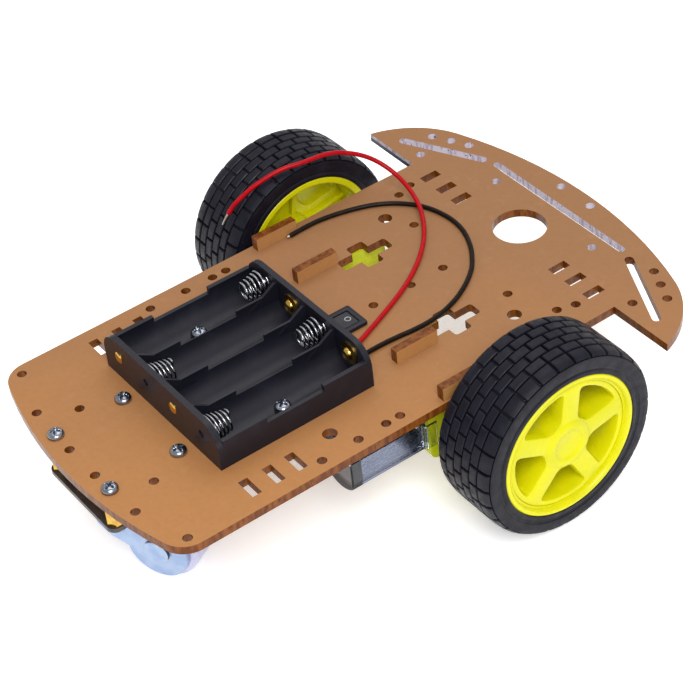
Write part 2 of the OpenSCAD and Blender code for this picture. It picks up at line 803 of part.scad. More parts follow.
module caster_bottom_screws() {
    color("silver")
    at_caster_holes() translate([0, 0, caster_low]) mirror([0, 0, 1]) pan_screw(caster_plate_t + 4);
}

module caster_plate() {
    color([0.72, 0.73, 0.76])
    translate([caster_x, 0, caster_low]) linear_extrude(caster_plate_t) difference() {
        soft_rectangle([-caster_plate_l, -caster_plate_w] / 2, [caster_plate_l, caster_plate_w] / 2, 3);
        for (x = [-caster_hole_x, caster_hole_x], y = [-caster_hole_y, caster_hole_y])
            translate([x, y]) circle(bolt_r);
        circle(kingpin_r);
    }
}

module caster_kingpin() {
    color([0.75, 0.76, 0.80])
    translate([caster_x, 0, 0]) {
        translate([0, 0, crown_low - 1.7]) cylinder(h = caster_top + 1.8 - crown_low, r = kingpin_r);
        translate([0, 0, caster_top]) cylinder(h = 1.6, r = 5);
        translate([0, 0, crown_low - 1.7]) cylinder(h = 1.6, r = 5);
    }
}

module caster_balls() {
    color("silver")
    translate([caster_x, 0, crown_low + cheek_t + ball_r + play])
        for (i = [0 : balls - 1]) rotate(i * 360 / balls)
            translate([ball_ring_r, 0, 0]) sphere(ball_r, $fn = 24);
}

// Places a piece drawn with the caster trailing along +X about the swivel axis
module at_swivel() {
    translate([caster_x, 0, 0]) rotate(swivel_angle) children();
}

module fork_cheek() {
    lobe_r = 10.4;
    translate([trail, caster_r]) circle(lobe_r, $fn = 64);
    polygon([[-9, crown_low + cheek_t], [12, crown_low + cheek_t], [trail + 8.4, caster_r + 6.1],
             [trail, caster_r - 6], [3.6, caster_r - 2], [-4, caster_r + 1.2], [-8, caster_r + 5]]);
}

module caster_fork() {
    color([0.74, 0.77, 0.83])
    at_swivel() difference() {
        union() {
            translate([0, 0, crown_low]) cylinder(h = cheek_t, r = 12.5, $fn = 64);
            translate([-9, -cheek_in - cheek_t, crown_low]) cube([21, 2 * (cheek_in + cheek_t), cheek_t]);
            along_y(-cheek_in - cheek_t, -cheek_in) fork_cheek();
            along_y(cheek_in, cheek_in + cheek_t) fork_cheek();
        }
        translate([0, 0, crown_low - 1]) cylinder(h = 4, r = kingpin_r + play);
        rod_y(trail, caster_r, -cheek_in - 3, cheek_in + 3, caster_axle_r);
    }
}

module caster_axle() {
    head_r = 4.4;
    out = cheek_in + cheek_t;
    color([0.78, 0.80, 0.85])
    at_swivel() {
        rod_y(trail, caster_r, -out - 1, out + 1, caster_axle_r);
        for (s = [0, 1]) mirror([0, s, 0]) translate([trail, out, caster_r]) rotate([-90, 0, 0])
            rotate_extrude() polygon([[0, 0], [head_r, 0], [head_r, 0.9], [head_r - 0.6, 1.4], [0, 1.6]]);
    }
}

module caster_wheel() {
    bore_r = caster_axle_r + play;
    half = caster_w / 2;
    color([0.80, 0.82, 0.90])
    at_swivel() translate([trail, 0, caster_r]) rotate([-90, 0, 0]) rotate_extrude($fn = 64)
        polygon([[bore_r, -half], [caster_r - 1.6, -half], [caster_r - 0.5, -half + 0.5],
                 [caster_r, -half + 1.6], [caster_r, half - 1.6], [caster_r - 0.5, half - 0.5],
                 [caster_r - 1.6, half], [bore_r, half]]);
}

// ---- wires ----

module red_wire() {
    color([0.80, 0.05, 0.08]) tube(red_route, wire_d / 2);
}

module black_wire() {
    color([0.08, 0.08, 0.08]) tube(black_route, wire_d / 2);
}

// ---- left and right pieces ----

module right_side() {
    mirror([0, 1, 0]) children();
}

chassis_plate();
bracket(bracket_inner_y);  // left_inner_bracket
bracket(bracket_outer_y);  // left_outer_bracket
right_side() bracket(bracket_inner_y);  // right_inner_bracket
right_side() bracket(bracket_outer_y);  // right_outer_bracket
motor_bolts();
motor_nuts();
gearbox_inner_shell();  // left_gearbox_inner_shell
gearbox_outer_shell();  // left_gearbox_outer_shell
gear_pins();  // left_gear_pins
output_gear();  // left_output_gear
idler_gear();  // left_idler_gear
crown_gear();  // left_crown_gear
motor_can();  // left_motor_can
motor_rotor();  // left_motor_rotor
motor_end_cap();  // left_motor_end_cap
motor_strap();  // left_motor_strap
wheel_rim();  // left_wheel_rim
tyre();  // left_tyre
right_side() gearbox_inner_shell();  // right_gearbox_inner_shell
right_side() gearbox_outer_shell();  // right_gearbox_outer_shell
right_side() gear_pins();  // right_gear_pins
right_side() output_gear();  // right_output_gear
right_side() idler_gear();  // right_idler_gear
right_side() crown_gear();  // right_crown_gear
right_side() motor_can();  // right_motor_can
right_side() motor_rotor();  // right_motor_rotor
right_side() motor_end_cap();  // right_motor_end_cap
right_side() motor_strap();  // right_motor_strap
right_side() wheel_rim();  // right_wheel_rim
right_side() tyre();  // right_tyre
battery_holder();
battery_springs();
battery_contacts();
holder_screws();
holder_nuts();
switch_body();
switch_rocker();
switch_terminals();
caster_standoffs();
caster_top_screws();
caster_bottom_screws();
caster_plate();
caster_kingpin();
caster_balls();
caster_fork();
caster_axle();
caster_wheel();
red_wire();
black_wire();
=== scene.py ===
"""Looks of a two-wheel robot car: acrylic deck, geared motors, caster, cell holder and two wires.

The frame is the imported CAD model's: +X to the crescent nose, +Y to the left wheel, +Z up. Shapes are
drawn in millimetres and turned into metres by new_piece. The camera, the lights, the floor and the
fades of the deck's edge colours are in metres.
"""
import json
import math

import bmesh
import bpy
from mathutils import Matrix, Vector


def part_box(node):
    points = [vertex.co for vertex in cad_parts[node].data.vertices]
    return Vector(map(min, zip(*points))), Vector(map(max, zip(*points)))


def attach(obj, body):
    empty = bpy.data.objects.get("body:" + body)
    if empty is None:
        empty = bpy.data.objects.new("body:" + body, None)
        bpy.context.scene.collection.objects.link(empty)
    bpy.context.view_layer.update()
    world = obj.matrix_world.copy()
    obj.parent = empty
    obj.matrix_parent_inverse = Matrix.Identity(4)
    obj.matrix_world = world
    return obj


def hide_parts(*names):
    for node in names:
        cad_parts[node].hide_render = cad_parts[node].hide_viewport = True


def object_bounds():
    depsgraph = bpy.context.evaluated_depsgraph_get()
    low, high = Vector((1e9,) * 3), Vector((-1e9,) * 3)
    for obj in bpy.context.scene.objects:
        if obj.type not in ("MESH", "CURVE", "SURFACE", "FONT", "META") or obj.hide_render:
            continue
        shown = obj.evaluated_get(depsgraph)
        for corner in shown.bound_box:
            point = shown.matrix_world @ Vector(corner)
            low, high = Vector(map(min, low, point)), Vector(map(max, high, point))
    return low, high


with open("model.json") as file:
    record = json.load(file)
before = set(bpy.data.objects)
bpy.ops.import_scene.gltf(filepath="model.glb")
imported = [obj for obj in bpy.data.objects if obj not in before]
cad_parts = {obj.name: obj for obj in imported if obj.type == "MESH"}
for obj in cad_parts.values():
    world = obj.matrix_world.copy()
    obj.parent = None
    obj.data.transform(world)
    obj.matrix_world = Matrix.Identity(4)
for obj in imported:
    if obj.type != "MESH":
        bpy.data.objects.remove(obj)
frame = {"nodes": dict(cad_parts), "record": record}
cad_low, cad_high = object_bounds()

MM = 0.001
SIDES = (("left", 1), ("right", -1))


# ---- camera, at the reference view ----

CAMERA_PLACE = Vector((-0.29289, -0.47390, 0.50840))
CAMERA_RIGHT = Vector((0.80269, -0.58977, -0.08868))
CAMERA_UP = Vector((0.43895, 0.48356, 0.75729))
CAMERA_BACK = Vector((-0.40375, -0.64680, 0.64703))
CAMERA_LENS_MM = 116.576


def make_camera():
    data = bpy.data.cameras.new("camera")
    data.lens = CAMERA_LENS_MM
    data.sensor_width = 36
    data.clip_start = 0.01
    data.clip_end = 20
    camera = bpy.data.objects.new("camera", data)
    bpy.context.scene.collection.objects.link(camera)
    turn = Matrix((CAMERA_RIGHT, CAMERA_UP, CAMERA_BACK)).transposed()
    camera.matrix_world = Matrix.Translation(CAMERA_PLACE) @ turn.to_4x4()
    bpy.context.scene.camera = camera


# ---- node helpers for materials ----


class Shader:
    """A material with one Principled shader and short helpers for its nodes."""

    def __init__(self, name, color, roughness, metallic=0.0, **sockets):
        self.material = bpy.data.materials.new(name)
        self.material.use_nodes = True
        self.tree = self.material.node_tree
        self.shader = self.tree.nodes["Principled BSDF"]
        self.material.diffuse_color = (*color, 1)
        self.set("Base Color", (*color, 1))
        self.set("Roughness", roughness)
        self.set("Metallic", metallic)
        for socket, value in sockets.items():
            self.set(socket.replace("_", " "), value)
        self.place = self.node("ShaderNodeTexCoord").outputs["Object"]

    def set(self, socket, value):
        self.shader.inputs[socket].default_value = value

    def node(self, kind, **settings):
        made = self.tree.nodes.new(kind)
        for key, value in settings.items():
            setattr(made, key, value)
        return made

    def link(self, source, target):
        self.tree.links.new(source, target)

    def feed(self, source, socket):
        self.link(source, self.shader.inputs[socket])

    def stretched(self, scale):
        """Object coordinates scaled on each axis, which stretches a noise fed with them."""
        mapping = self.node("ShaderNodeMapping")
        mapping.inputs["Scale"].default_value = scale
        self.link(self.place, mapping.inputs["Vector"])
        return mapping.outputs["Vector"]

    def noise(self, size_mm, detail=2.0, vector=None, roughness=0.5):
        made = self.node("ShaderNodeTexNoise")
        made.inputs["Scale"].default_value = 1 / (size_mm * MM)
        made.inputs["Detail"].default_value = detail
        made.inputs["Roughness"].default_value = roughness
        self.link(vector or self.place, made.inputs["Vector"])
        return made.outputs["Fac"]

    def between(self, value, low, high, out_low=0.0, out_high=1.0):
        """Rises smoothly from out_low to out_high as value goes from low to high."""
        made = self.node("ShaderNodeMapRange", interpolation_type="SMOOTHSTEP")
        self.link(value, made.inputs["Value"])
        limits = {"From Min": low, "From Max": high, "To Min": out_low, "To Max": out_high}
        for socket, number in limits.items():
            made.inputs[socket].default_value = number
        return made.outputs["Result"]

    def math(self, operation, a, b):
        made = self.node("ShaderNodeMath", operation=operation)
        for socket, value in zip(made.inputs, (a, b)):
            if isinstance(value, (int, float)):
                socket.default_value = value
            else:
                self.link(value, socket)
        return made.outputs["Value"]

    def mix(self, factor, a, b):
        """Colour a where factor is 0 and b where it is 1."""
        made = self.node("ShaderNodeMix", data_type="RGBA")
        self.link(factor, made.inputs["Factor"])
        for socket, value in ((made.inputs["A"], a), (made.inputs["B"], b)):
            if isinstance(value, tuple):
                socket.default_value = (*value, 1)
            else:
                self.link(value, socket)
        return made.outputs["Result"]

    def axes(self, source=None):
        made = self.node("ShaderNodeSeparateXYZ")
        self.link(source or self.place, made.inputs["Vector"])
        return made.outputs

    def bump(self, height, depth_mm, strength=1.0):
        made = self.node("ShaderNodeBump")
        made.inputs["Strength"].default_value = strength
        made.inputs["Distance"].default_value = depth_mm * MM
        self.link(height, made.inputs["Height"])
        self.feed(made.outputs["Normal"], "Normal")


def mottled(name, color, other, roughness, size_mm, bump_mm, metallic=0.0):
    """A finish that drifts between two colours, with rougher and smoother patches and a fine grain."""
    s = Shader(name, color, roughness, metallic)
    patches = s.noise(size_mm, 3)
    s.feed(s.mix(s.between(patches, 0.35, 0.65), color, other), "Base Color")
    grain = s.noise(0.4, 3)
    s.feed(s.between(grain, 0.3, 0.7, roughness * 0.85, roughness * 1.2), "Roughness")
    s.bump(grain, bump_mm)
    return s.material


# ---- materials ----

# Where the deck's edge turns from amber to painted reflection and painted shade: (start, end) in metres,
# along X or Y.
HOLLOW_X = (0.0712, 0.0708)
FAR_TIP_X = (0.068, 0.069)
FAR_TIP_Y = (0.0445, 0.046)
NOSE_RIM_X = (0.0835, 0.0845)
NOSE_RIM_Y = (-0.035, -0.033)
# Heights above the deck's underside, in millimetres, between which the inner edge turns from painted shade
# (dark) to painted reflection (pale).
EDGE_DARK_TO = 1.3
EDGE_PALE_FROM = 1.9


def film_on_acrylic(name, face_axis, tan, orange):
    """Brown paper film on a clear acrylic sheet, whose cut edges are amber, with a painted reflection
    (pale lavender) and a painted shade (dark navy lower band) at the far tip and the nose rim.

    face_axis is the axis across the sheet: 2 for the deck and 1 for the upright brackets.
    """
    s = Shader(name, tan, 0.5, Specular_IOR_Level=0.18)
    x, y, z = s.axes()
    normal = s.node("ShaderNodeTexCoord").outputs["Normal"]
    facing = s.math("ABSOLUTE", s.axes(normal)[face_axis], 0)
    is_face = s.between(facing, 0.45, 0.55)

    cloud = s.noise(28, 4)
    nearness = s.math("SUBTRACT", s.math("MULTIPLY", cloud, 0.12), s.math("ADD", x, y))
    warm = s.between(nearness, -0.02, 0.2)
    paper = s.mix(warm, tan, orange)
    fibres = s.noise(1.6, 5, None, 0.65)
    paper = s.mix(s.between(fibres, 0.35, 0.75, 0, 0.16), paper, (0.22, 0.10, 0.038))
    flecks = s.between(s.noise(5, 6, None, 0.7), 0.56, 0.7, 0, 0.2)
    paper = s.mix(flecks, paper, (0.40, 0.215, 0.11))

    streaks = s.noise(1.6, 3, s.stretched((1, 1, 0.2)))
    amber = s.mix(s.between(streaks, 0.35, 0.65), (0.11, 0.028, 0.004), (0.20, 0.062, 0.010))
    # The crescent's inner edge below top_part gets dark navy: a painted shade.
    top_part = s.between(z, (DECK_LOW + EDGE_DARK_TO) * MM, (DECK_LOW + EDGE_PALE_FROM) * MM)
    inner_edge = s.math("MULTIPLY", s.between(x, *HOLLOW_X), s.math("SUBTRACT", 1, top_part))
    # Pale lavender streaks: a painted reflection of the bright surroundings on the clear edge.
    pale = s.mix(s.between(streaks, 0.5, 0.62, 0, 0.6), (0.56, 0.52, 0.60), (0.26, 0.20, 0.24))
    reflection_and_shade_edge = s.mix(inner_edge, pale, (0.035, 0.033, 0.065))
    # The far tip and the nose rim get the painted reflection and painted shade instead of amber.
    far_tip = s.math("MULTIPLY", s.between(x, *FAR_TIP_X), s.between(y, *FAR_TIP_Y))
    rim_of_nose = s.math("MULTIPLY", s.between(x, *NOSE_RIM_X), s.between(y, *NOSE_RIM_Y))
    edge = s.mix(s.math("MAXIMUM", far_tip, rim_of_nose), amber, reflection_and_shade_edge)
    nicks = s.between(s.noise(1.1, 2), 0.66, 0.7)
    edge = s.mix(nicks, edge, (0.02, 0.012, 0.008))

    s.feed(s.mix(is_face, edge, paper), "Base Color")
    rough = s.math("ADD", s.math("MULTIPLY", is_face, 0.26), s.between(fibres, 0.2, 0.8, 0.24, 0.34))
    s.feed(rough, "Roughness")
    s.bump(s.math("MULTIPLY", fibres, is_face), 0.012)
    return s.material


def black_plastic():
    """Moulded black with a fine spark-eroded grain and a faint bloom of dust on top."""
    s = Shader("black_plastic", (0.009, 0.009, 0.015), 0.36, Specular_IOR_Level=0.3)
    dust = s.between(s.noise(9, 4), 0.45, 0.8, 0, 0.5)
    s.feed(s.mix(dust, (0.008, 0.008, 0.014), (0.019, 0.019, 0.028)), "Base Color")
    grain = s.noise(0.35, 2)
    s.feed(s.between(grain, 0.3, 0.7, 0.3, 0.46), "Roughness")
    s.bump(grain, 0.02)
    return s.material


def tyre_rubber():
    """Moulded rubber: near black with a blue cast, shinier where it rubbed, dusty in places."""
    s = Shader("tyre_rubber", (0.006, 0.006, 0.011), 0.45, Specular_IOR_Level=0.2)
    dust = s.between(s.noise(6, 4), 0.4, 0.75, 0, 0.7)
    s.feed(s.mix(dust, (0.004, 0.004, 0.009), (0.010, 0.010, 0.018)), "Base Color")
    grain = s.noise(0.5, 4)
    s.feed(s.between(s.noise(2.5, 3), 0.3, 0.7, 0.36, 0.56), "Roughness")
    s.bump(grain, 0.06)
    return s.material


def yellow_plastic(name, color, other, roughness):
    """Glossy moulded plastic with faint flow marks and a slight orange peel."""
    s = Shader(name, color, roughness, Specular_IOR_Level=0.24)
    flow = s.noise(12, 4)
    s.feed(s.mix(s.between(flow, 0.35, 0.7), color, other), "Base Color")
    peel = s.noise(1.4, 2)
    s.feed(s.between(s.noise(4, 3), 0.3, 0.7, roughness * 0.8, roughness * 1.3), "Roughness")
    s.bump(peel, 0.02)
    return s.material


def brushed_metal(name, color, other, roughness, stretch):
    """Metal with fine marks, which run along the axis that stretch scales least."""
    s = Shader(name, color, roughness, 1.0)
    marks = s.noise(0.5, 4, s.stretched(stretch))
    s.feed(s.mix(s.between(s.noise(7, 3), 0.35, 0.65), color, other), "Base Color")
    s.feed(s.between(marks, 0.25, 0.75, roughness * 0.7, roughness * 1.35), "Roughness")
    s.bump(marks, 0.015)
    return s.material


def clear_plastic():
    """The clear strap of the motor: clean in the middle, with a faint haze and moulding waves."""
    s = Shader("clear_plastic", (0.93, 0.95, 0.98), 0.06, Transmission_Weight=1.0, IOR=1.3)
    s.feed(s.between(s.noise(5, 3), 0.3, 0.7, 0.03, 0.12), "Roughness")
    s.bump(s.noise(2, 2), 0.01)
    return s.material


def insulation(name, color, other, roughness):
    """PVC sleeve: glossy, with faint pulled marks and handling smears."""
    s = Shader(name, color, roughness, Specular_IOR_Level=0.14)
    s.feed(s.mix(s.between(s.noise(3, 3), 0.35, 0.7), color, other), "Base Color")
    s.feed(s.between(s.noise(1.2, 2), 0.3, 0.7, roughness * 0.8, roughness * 1.3), "Roughness")
    s.bump(s.noise(1.5, 2), 0.006)
    return s.material


def zinc_plate():
    """Blue-white zinc plating: soft cloudy sheen with small spangles."""
    s = Shader("zinc_steel", (0.33, 0.44, 0.64), 0.34, 0.6)
    cloud = s.noise(5, 4)
    s.feed(s.mix(s.between(cloud, 0.35, 0.65), (0.30, 0.41, 0.62), (0.40, 0.50, 0.68)), "Base Color")
    s.feed(s.between(s.noise(0.9, 3), 0.3, 0.7, 0.3, 0.44), "Roughness")
    s.bump(s.noise(0.9, 3), 0.006)
    return s.material


def make_materials():
    """Every finish, by the name that the record's slots and the pieces give it."""
    return {
        "acrylic_film": film_on_acrylic(
            "film_on_acrylic", 2, (0.285, 0.138, 0.060), (0.385, 0.172, 0.058)),
        "upright_film": film_on_acrylic(
            "film_on_brackets", 1, (0.42, 0.20, 0.07), (0.46, 0.22, 0.07)),
        "screw_steel": mottled(
            "screw_steel", (0.34, 0.36, 0.41), (0.24, 0.26, 0.31), 0.2, 3, 0.002, 1.0),
        "gearbox_plastic": yellow_plastic(
            "gearbox_plastic", (0.52, 0.56, 0.012), (0.47, 0.52, 0.010), 0.32),
        "pin_steel": brushed_metal(
            "pin_steel", (0.62, 0.63, 0.65), (0.5, 0.51, 0.53), 0.22, (1, 0.1, 1)),
        "gear_plastic": mottled(
            "gear_plastic", (0.80, 0.80, 0.74), (0.74, 0.73, 0.66), 0.42, 6, 0.02),
        "motor_steel": brushed_metal(
            "motor_steel", (0.24, 0.26, 0.35), (0.17, 0.19, 0.26), 0.28, (0.15, 1, 1)),
        "rotor_steel": brushed_metal(
            "rotor_steel", (0.42, 0.26, 0.16), (0.30, 0.19, 0.13), 0.35, (1, 8, 8)),
        "black_plastic": black_plastic(),
        "clear_plastic": clear_plastic(),
        "rim_plastic": yellow_plastic(
            "rim_plastic", (0.62, 0.59, 0.001), (0.56, 0.54, 0.001), 0.3),
        "tyre_rubber": tyre_rubber(),
        "spring_steel": mottled(
            "spring_steel", (0.42, 0.43, 0.45), (0.30, 0.31, 0.33), 0.17, 2, 0.002, 1.0),
        "brass": mottled(
            "brass", (0.70, 0.44, 0.10), (0.52, 0.31, 0.06), 0.2, 3, 0.004, 1.0),
        "switch_gloss": mottled(
            "switch_gloss", (0.012, 0.012, 0.016), (0.022, 0.022, 0.028), 0.2, 5, 0.01),
        "tinned_terminals": mottled(
            "tinned_terminals", (0.62, 0.62, 0.58), (0.5, 0.5, 0.47), 0.35, 2, 0.02, 1.0),
        "zinc_steel": zinc_plate(),
        "caster_nylon": mottled(
            "caster_nylon", (0.52, 0.54, 0.72), (0.42, 0.44, 0.62), 0.4, 6, 0.03),
        "red_insulation": insulation(
            "red_insulation", (0.40, 0.0015, 0.005), (0.34, 0.001, 0.008), 0.32),
        "black_insulation": insulation(
            "black_insulation", (0.006, 0.003, 0.002), (0.011, 0.006, 0.004), 0.36),
        "tinned_strands": mottled(
            "tinned_strands", (0.66, 0.64, 0.62), (0.5, 0.42, 0.36), 0.3, 0.8, 0.02, 1.0),
        "switch_mark": mottled(
            "switch_mark", (0.34, 0.36, 0.38), (0.26, 0.28, 0.30), 0.5, 1, 0.01),
        # Painted shadow for the gap round the caster's rivet heads.
        "painted_shadow_steel": mottled(
            "painted_shadow_steel", (0.03, 0.03, 0.035), (0.06, 0.055, 0.055), 0.35, 1, 0.01, 0.6),
        # Painted shade for the caster plate, which lies in the chassis' shadow.
        "painted_shade_plate": mottled(
            "painted_shade_plate", (0.055, 0.048, 0.045), (0.085, 0.075, 0.07), 0.42, 5, 0.01, 0.6),
    }


# ---- mesh helpers, all in millimetres ----


def new_piece(name, bm, body, slot, replaced=(), material=None, sharp_deg=32):
    """Makes one object from a bmesh drawn in millimetres and fixes it to its CAD body."""
    bmesh.ops.remove_doubles(bm, verts=bm.verts, dist=1e-4)
    bmesh.ops.recalc_face_normals(bm, faces=bm.faces)
    bmesh.ops.scale(bm, vec=(MM, MM, MM), verts=bm.verts)
    mesh = bpy.data.meshes.new(name)
    bm.to_mesh(mesh)
    bm.free()
    mesh.shade_smooth()
    mesh.set_sharp_from_angle(angle=math.radians(sharp_deg))
    piece = bpy.data.objects.new(name, mesh)
    bpy.context.scene.collection.objects.link(piece)
    mesh.materials.append(MATERIALS[material or slot])
    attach(piece, body)
    if replaced:
        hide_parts(*replaced)
    return piece


def along(axis, origin):
    """Places a shape drawn about local Z so that its Z runs along the vector axis from origin."""
    turn = Vector(axis).to_track_quat("Z", "Y").to_matrix()
    return Matrix.Translation(origin) @ turn.to_4x4()


def wheel_frame(side, x, z):
    """Local X and Y lie in the wheel's plane and local Z points outwards along the axle, from y = 0."""
    out = Vector((0, side, 0))
    columns = (Vector((1, 0, 0)), Vector((0, 0, 1)), out)
    turn = Matrix(columns).transposed().to_4x4()
    return Matrix.Translation((x, 0, z)) @ turn


def circle(radius, height, segments):
    """Points round local Z at one height."""
    angles = [math.tau * i / segments for i in range(segments)]
    return [(radius * math.cos(a), radius * math.sin(a), height) for a in angles]


def add_ring(bm, points, place):
    return [bm.verts.new(place @ Vector(p)) for p in points]


def join_rings(bm, a, b):
    """Faces between two rings of as many vertices. A ring may be one vertex repeated, for a tip."""
    count = len(a)
    for i in range(count):
        j = (i + 1) % count
        corners = [a[i], a[j], b[j], b[i]]
        unique = [v for k, v in enumerate(corners) if v not in corners[:k]]
        if len(unique) > 2:
            bm.faces.new(unique)


def lathe(bm, profile, place, segments=48, closed=False):
    """Turns a profile of (radius, height) points about local Z."""
    rings = []
    for radius, height in profile:
        if radius < 1e-6:
            tip = bm.verts.new(place @ Vector((0, 0, height)))
            rings.append([tip] * segments)
        else:
            rings.append(add_ring(bm, circle(radius, height, segments), place))
    for a, b in zip(rings, rings[1:]):
        join_rings(bm, a, b)
    if closed:
        join_rings(bm, rings[-1], rings[0])


def arc_points(center, radius, start_deg, end_deg, steps):
    """Points of an arc in a profile plane, from start to end."""
    turns = [math.radians(start_deg + (end_deg - start_deg) * i / steps) for i in range(steps + 1)]
    return [(center[0] + radius * math.cos(t), center[1] + radius * math.sin(t)) for t in turns]


def rounded_rectangle(width, height, radius, steps=5):
    """Outline of a rectangle about the origin, with round corners."""
    outline = []
    for k, (sx, sy) in enumerate(((1, 1), (-1, 1), (-1, -1), (1, -1))):
        corner = (sx * (width / 2 - radius), sy * (height / 2 - radius))
        outline += arc_points(corner, radius, 90 * k, 90 * k + 90, steps)
    return outline


def inset_outline(outline, distance):
    """The outline moved inwards by a distance, for outlines that run anticlockwise."""
    moved = []
    count = len(outline)
    for i in range(count):
        before, here, after = (Vector(outline[(i + k) % count]) for k in (-1, 0, 1))
        first = (here - before).normalized()
        second = (after - here).normalized()
        inward = Vector((-first.y - second.y, first.x + second.x))
        if inward.length < 1e-9:
            inward = Vector((-second.y, second.x))
        inward.normalize()
        slant = max(0.4, inward.dot(Vector((-second.y, second.x))))
        moved.append(tuple(here + inward * distance / slant))
    return moved


def rounded_prism(bm, outline, low, high, edge, place, steps=3):
    """A closed prism of an anticlockwise outline, with rounded edges at both ends."""
    levels = []
    for k in range(steps + 1):
        turn = math.radians(90 * k / steps)
        levels.append((edge * (1 - math.sin(turn)), low + edge * (1 - math.cos(turn))))
    for k in range(steps, -1, -1):
        turn = math.radians(90 * k / steps)
        levels.append((edge * (1 - math.sin(turn)), high - edge * (1 - math.cos(turn))))
    rings = []
    for inset, height in levels:
        ring = inset_outline(outline, inset) if inset > 1e-9 else outline
        rings.append(add_ring(bm, [(p[0], p[1], height) for p in ring], place))
    for a, b in zip(rings, rings[1:]):
        join_rings(bm, a, b)
    bm.faces.new(rings[0])
    bm.faces.new(rings[-1])


def plate_with_holes(bm, outer, holes, low, high, edge, place):
    """A closed plate between two heights whose outline and holes have rounded rims."""
    loops = [(outer, 1)] + [(hole, -1) for hole in holes]
    faces_low, faces_high = [], []
    for outline, sign in loops:
        rings = []
        for inset, height in ((edge, low), (edge * 0.3, low + edge * 0.3), (0, low + edge),
                              (0, high - edge), (edge * 0.3, high - edge * 0.3), (edge, high)):
            ring = inset_outline(outline, sign * inset)
            rings.append(add_ring(bm, [(p[0], p[1], height) for p in ring], place))
        for a, b in zip(rings, rings[1:]):
            join_rings(bm, a, b)
        faces_low.append(rings[0])
        faces_high.append(rings[-1])
    for side in (faces_low, faces_high):
        pairs = [pair for ring in side for pair in zip(ring, ring[1:] + ring[:1])]
        edges = [bm.edges.get(pair) for pair in pairs]
        bmesh.ops.triangle_fill(bm, use_beauty=True, use_dissolve=False, edges=edges)


# ---- cords: a route of listed points, swept as a sleeve with a stripped end ----

WIRE_R = 0.8
STRAND_R = 0.48
BLACK_ROUTE = [
    (-9.4, -20, 50), (-7, -19.6, 49.4), (-4, -19, 48.6), (0, -18.4, 48.1), (5, -18.4, 48),
    (10, -18.8, 48), (15, -19.4, 48), (20, -19.6, 48), (25, -19.2, 48), (30, -18, 48),
    (35, -16.2, 48), (40, -13.6, 48), (44.5, -10.6, 48), (48.5, -7.2, 48), (52, -3, 48),
    (55, 1.5, 48), (57.4, 6.5, 48), (59, 11.5, 48), (59.6, 17, 48), (59.2, 22, 48), (58, 27, 48),
    (56, 31.5, 48), (53, 35.6, 48), (49.5, 39, 48), (45, 42, 48), (40, 44.2, 48), (35, 45.8, 48),
    (30, 47, 48), (25, 47.7, 48), (20, 47.7, 48), (13, 47.3, 48),
]
RED_ROUTE = [
    (-9.4, -16, 51), (-7, -15, 50.4), (-4, -13.8, 49.2), (0, -12.2, 48.2), (5, -10, 48),
    (10, -7.9, 48), (15, -5.7, 48), (20, -3.4, 48), (25, -0.9, 48), (30, 2, 48), (35, 5.3, 48.1),
    (40, 9.2, 48.3), (44.5, 13.4, 48.6), (48.5, 18, 49), (51.8, 23, 49.5), (54.4, 28, 50.1),
    (56, 33, 51), (56.6, 38, 52.6), (56, 42.6, 54.8), (54.2, 46.6, 57.4), (51.4, 49.8, 60),
    (48, 52, 62.2), (44, 53.4, 64.2), (40, 54.2, 65.8), (35.5, 54.6, 66.9), (31, 54.8, 67.4),
    (26.4, 55.4, 67.5), (22, 57, 67.2), (18, 58.4, 66.2), (14, 59.6, 64.7), (10, 60.8, 62.8),
    (6, 62, 60.1), (3, 62.8, 57.7), (0.4, 63.2, 54.8), (-1.6, 63.6, 51.9),
]


def smooth_path(route, steps=8):
    """A Catmull-Rom curve through the route's points."""
    points = [Vector(p) for p in route]
    ends = [2 * points[0] - points[1], *points, 2 * points[-1] - points[-2]]
    path = []
    for a, b, c, d in zip(ends, ends[1:], ends[2:], ends[3:]):
        for k in range(steps):
            t = k / steps
            path.append(0.5 * (2 * b + (c - a) * t + (2 * a - 5 * b + 4 * c - d) * t ** 2
                               + (3 * b - a - 3 * c + d) * t ** 3))
    path.append(points[-1])
    return path


def sweep(bm, path, radius_at, sides=16):
    """A closed tube along a path. radius_at gives its radius at a distance and an angle round it."""
    travelled = 0.0
    side = (path[1] - path[0]).cross(Vector((0, 0, 1))).normalized()
    rings = []
    for i, point in enumerate(path):
        if i:
            travelled += (point - path[i - 1]).length
        ahead = path[min(i + 1, len(path) - 1)] - path[max(i - 1, 0)]
        ahead.normalize()
        side = (side - ahead * side.dot(ahead)).normalized()
        up = side.cross(ahead)
        ring = []
        for k in range(sides):
            angle = math.tau * k / sides
            reach = radius_at(travelled, angle)
            ring.append(point + side * reach * math.cos(angle) + up * reach * math.sin(angle))
        rings.append(add_ring(bm, ring, Matrix.Identity(4)))
    for a, b in zip(rings, rings[1:]):
        join_rings(bm, a, b)
    bm.faces.new(rings[0])
    bm.faces.new(rings[-1])
    return rings


def path_length(path):
    return sum((b - a).length for a, b in zip(path, path[1:]))


